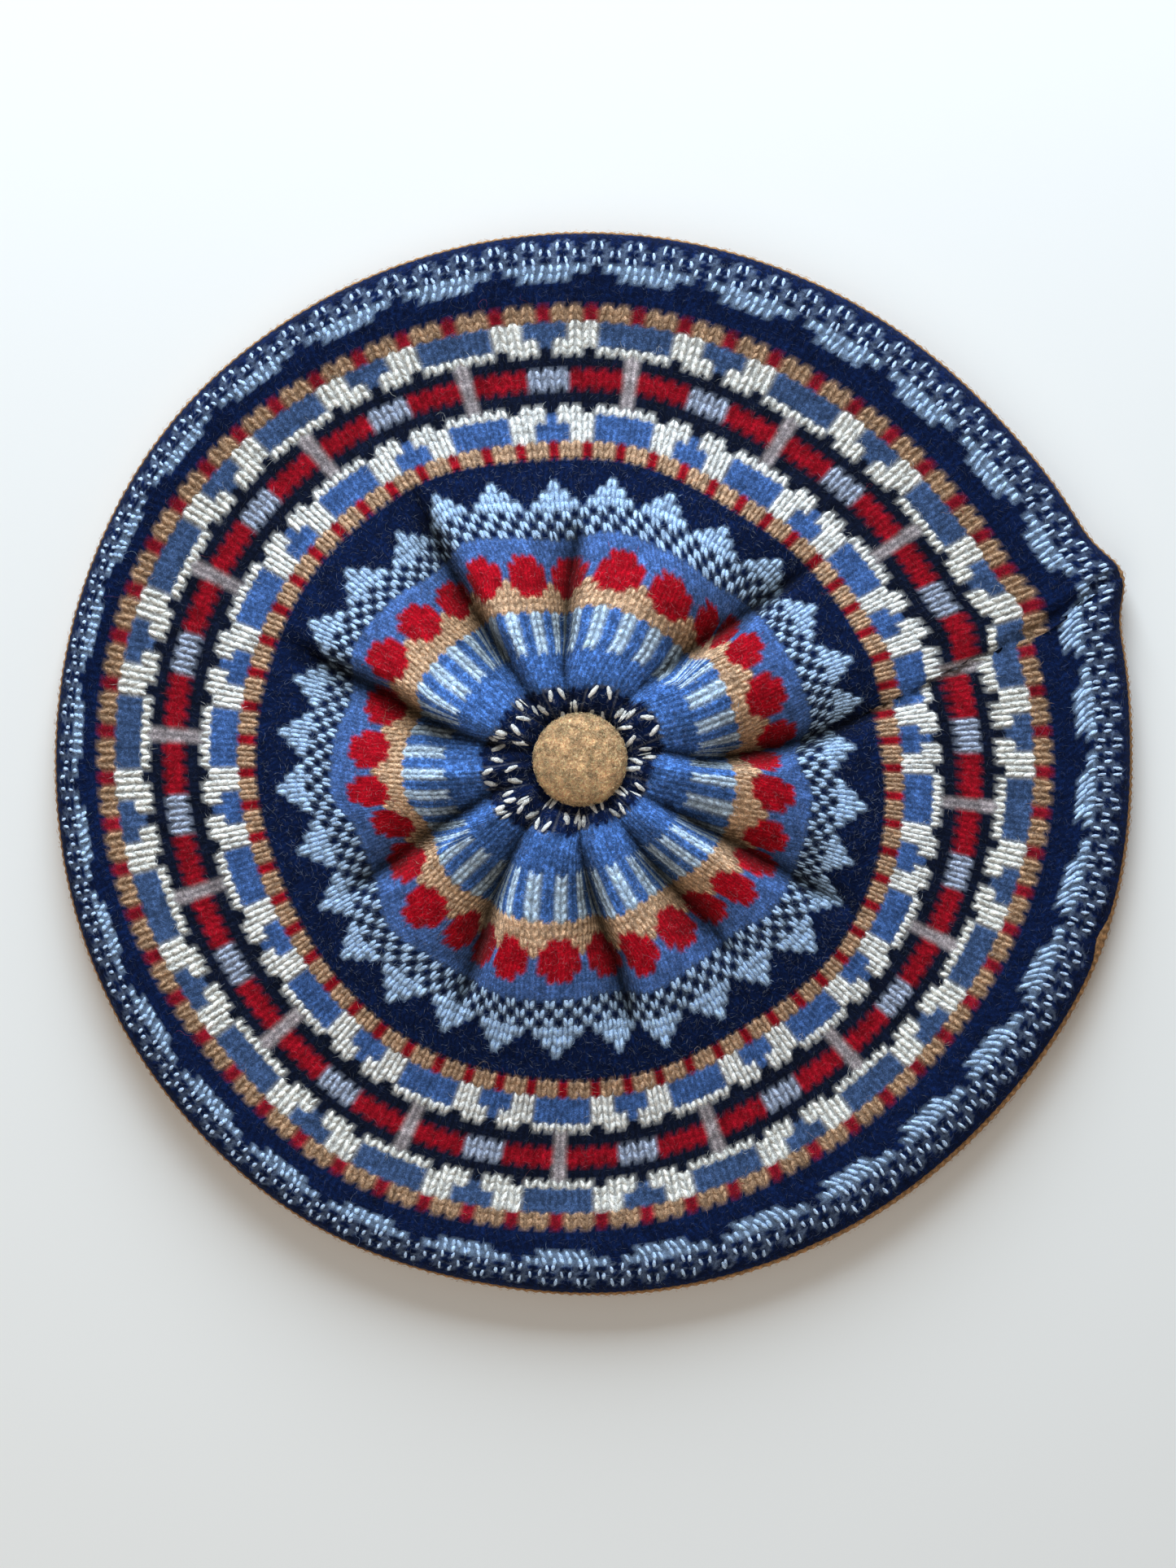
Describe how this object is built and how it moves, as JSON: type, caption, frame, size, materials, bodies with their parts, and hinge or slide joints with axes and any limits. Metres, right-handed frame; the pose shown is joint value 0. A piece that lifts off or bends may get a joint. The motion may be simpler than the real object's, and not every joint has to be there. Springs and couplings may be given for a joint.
{
  "type": "fair isle beret",
  "caption": "Round knitted beret lying flat: patterned crown gathered into petals under a felt button, plain underside and ribbed head band round the opening.",
  "frame": {"origin": "on the surface the beret lies on, below the middle of its outline", "axes": "+Z up through the crown; +X to the right and +Y up in the top view, with the seam corner a little above +X"},
  "size_m": [0.2665, 0.263, 0.0266],
  "materials": {
    "fair_isle_knit": "felted wool stranded knit, navy ground with light blue, blue, red, tan, cream and grey bands",
    "tan_knit": "plain knitted tan wool, soft and fuzzy",
    "tan_rib": "ribbed tan wool",
    "camel_felt": "napped camel wool felt"
  },
  "bodies": {
    "root": {"crown": "fair_isle_knit", "underside": "tan_knit", "head_band": "tan_rib", "centre_button": "camel_felt"}
  },
  "joints": []
}
